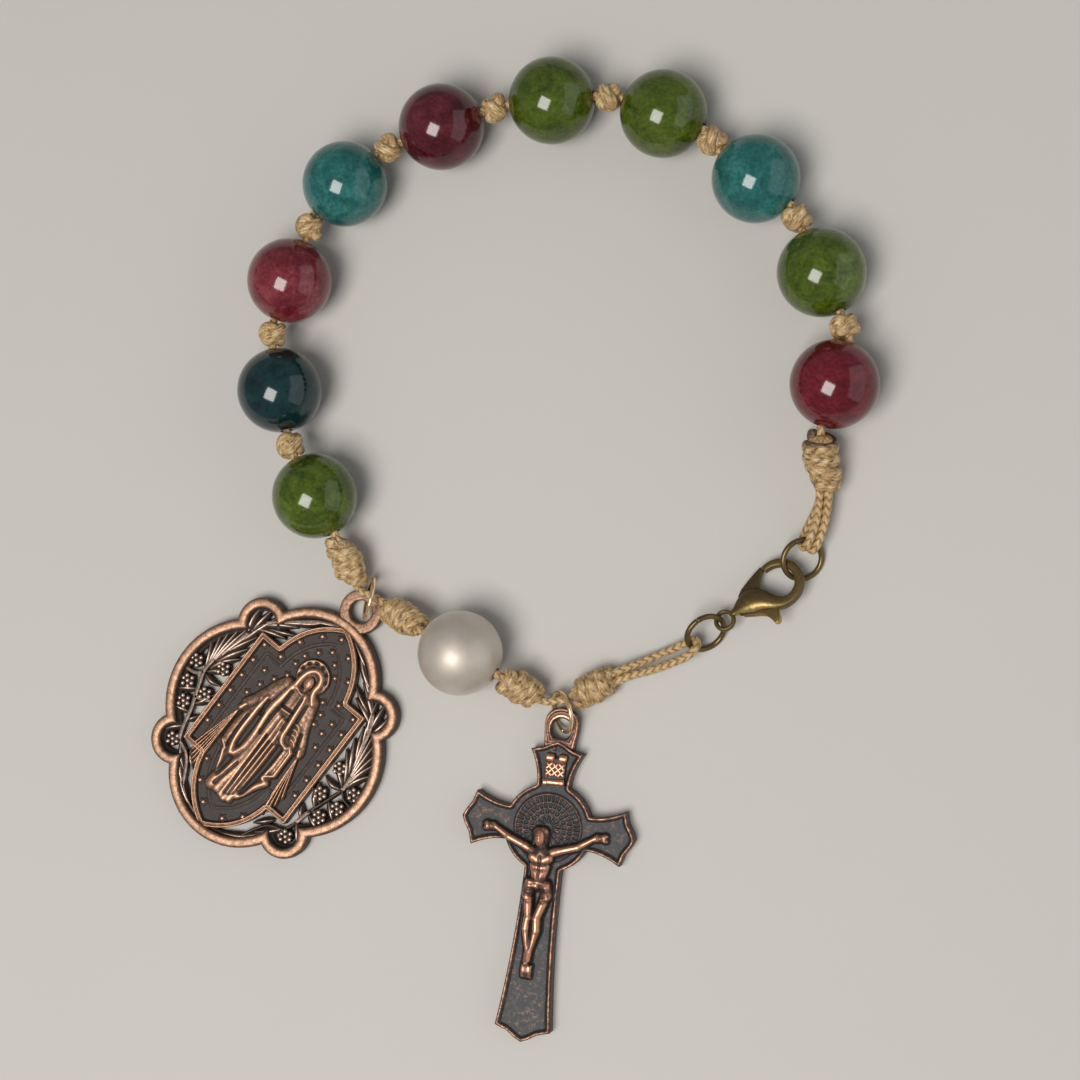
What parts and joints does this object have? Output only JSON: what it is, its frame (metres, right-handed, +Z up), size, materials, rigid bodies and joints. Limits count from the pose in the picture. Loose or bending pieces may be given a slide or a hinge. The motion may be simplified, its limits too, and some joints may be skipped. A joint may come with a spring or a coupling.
{
  "type": "beaded bracelet",
  "caption": "Knotted-cord bracelet of round stone beads and a pearl, with a pierced oval medal, a small crucifix and a lobster clasp, laid in a closed loop.",
  "frame": {"origin": "on the table under the middle of the laid-out bracelet, pendants included", "axes": "+Z up from the table; +Y from the crucifix's foot across the loop to its far beads, the longest extent; +X to the clasp's side"},
  "size_m": [0.0874, 0.113, 0.01],
  "materials": {
    "stone_wine": "polished stone, cloudy and slightly translucent",
    "stone_moss": "polished stone, cloudy and slightly translucent",
    "stone_teal": "polished stone, cloudy and slightly translucent",
    "stone_olive": "polished stone, cloudy and slightly translucent",
    "stone_plum": "polished stone, cloudy and slightly translucent",
    "stone_rose": "polished stone, cloudy and slightly translucent",
    "stone_deep_teal": "polished stone, cloudy and slightly translucent",
    "pearl": "pearl, soft gloss",
    "cord": "waxed braided cord",
    "copper": "antique copper, dark in the recesses",
    "bronze": "antique bronze, worn",
    "gold": "polished gold-coloured wire"
  },
  "bodies": {
    "bracelet": {"bead_01": "stone_wine", "bead_02": "stone_moss", "bead_03": "stone_teal", "bead_04": "stone_olive", "bead_05": "stone_olive", "bead_06": "stone_plum", "bead_07": "stone_teal", "bead_08": "stone_rose", "bead_09": "stone_deep_teal", "bead_10": "stone_moss", "pearl": "pearl", "knot_small_01": "cord", "knot_small_02": "cord", "knot_small_03": "cord", "knot_small_04": "cord", "knot_small_05": "cord", "knot_small_06": "cord", "knot_small_07": "cord", "knot_small_08": "cord", "knot_small_09": "cord", "knot_long_01": "cord", "knot_long_02": "cord", "knot_long_03": "cord", "knot_long_04": "cord", "knot_long_05": "cord", "cord": "cord", "loop_cord": "cord", "medal": "copper", "crucifix": "copper", "medal_ring": "gold", "crucifix_ring": "gold", "clasp_ring_a": "bronze", "clasp_ring_b": "bronze", "clasp_body": "bronze", "clasp_pin": "bronze"},
    "lever": {"clasp_lever": "bronze"}
  },
  "joints": [
    {"name": "lever_open", "type": "hinge", "parent": "bracelet", "child": "lever", "pos_m": [0.02875, -0.00655, 0.00208], "axis": [0.1811, -0.2606, -0.9483], "range_deg": [0, 25], "stiffness_Nm_per_rad": 0.004, "springref_deg": -17.19}
  ]
}
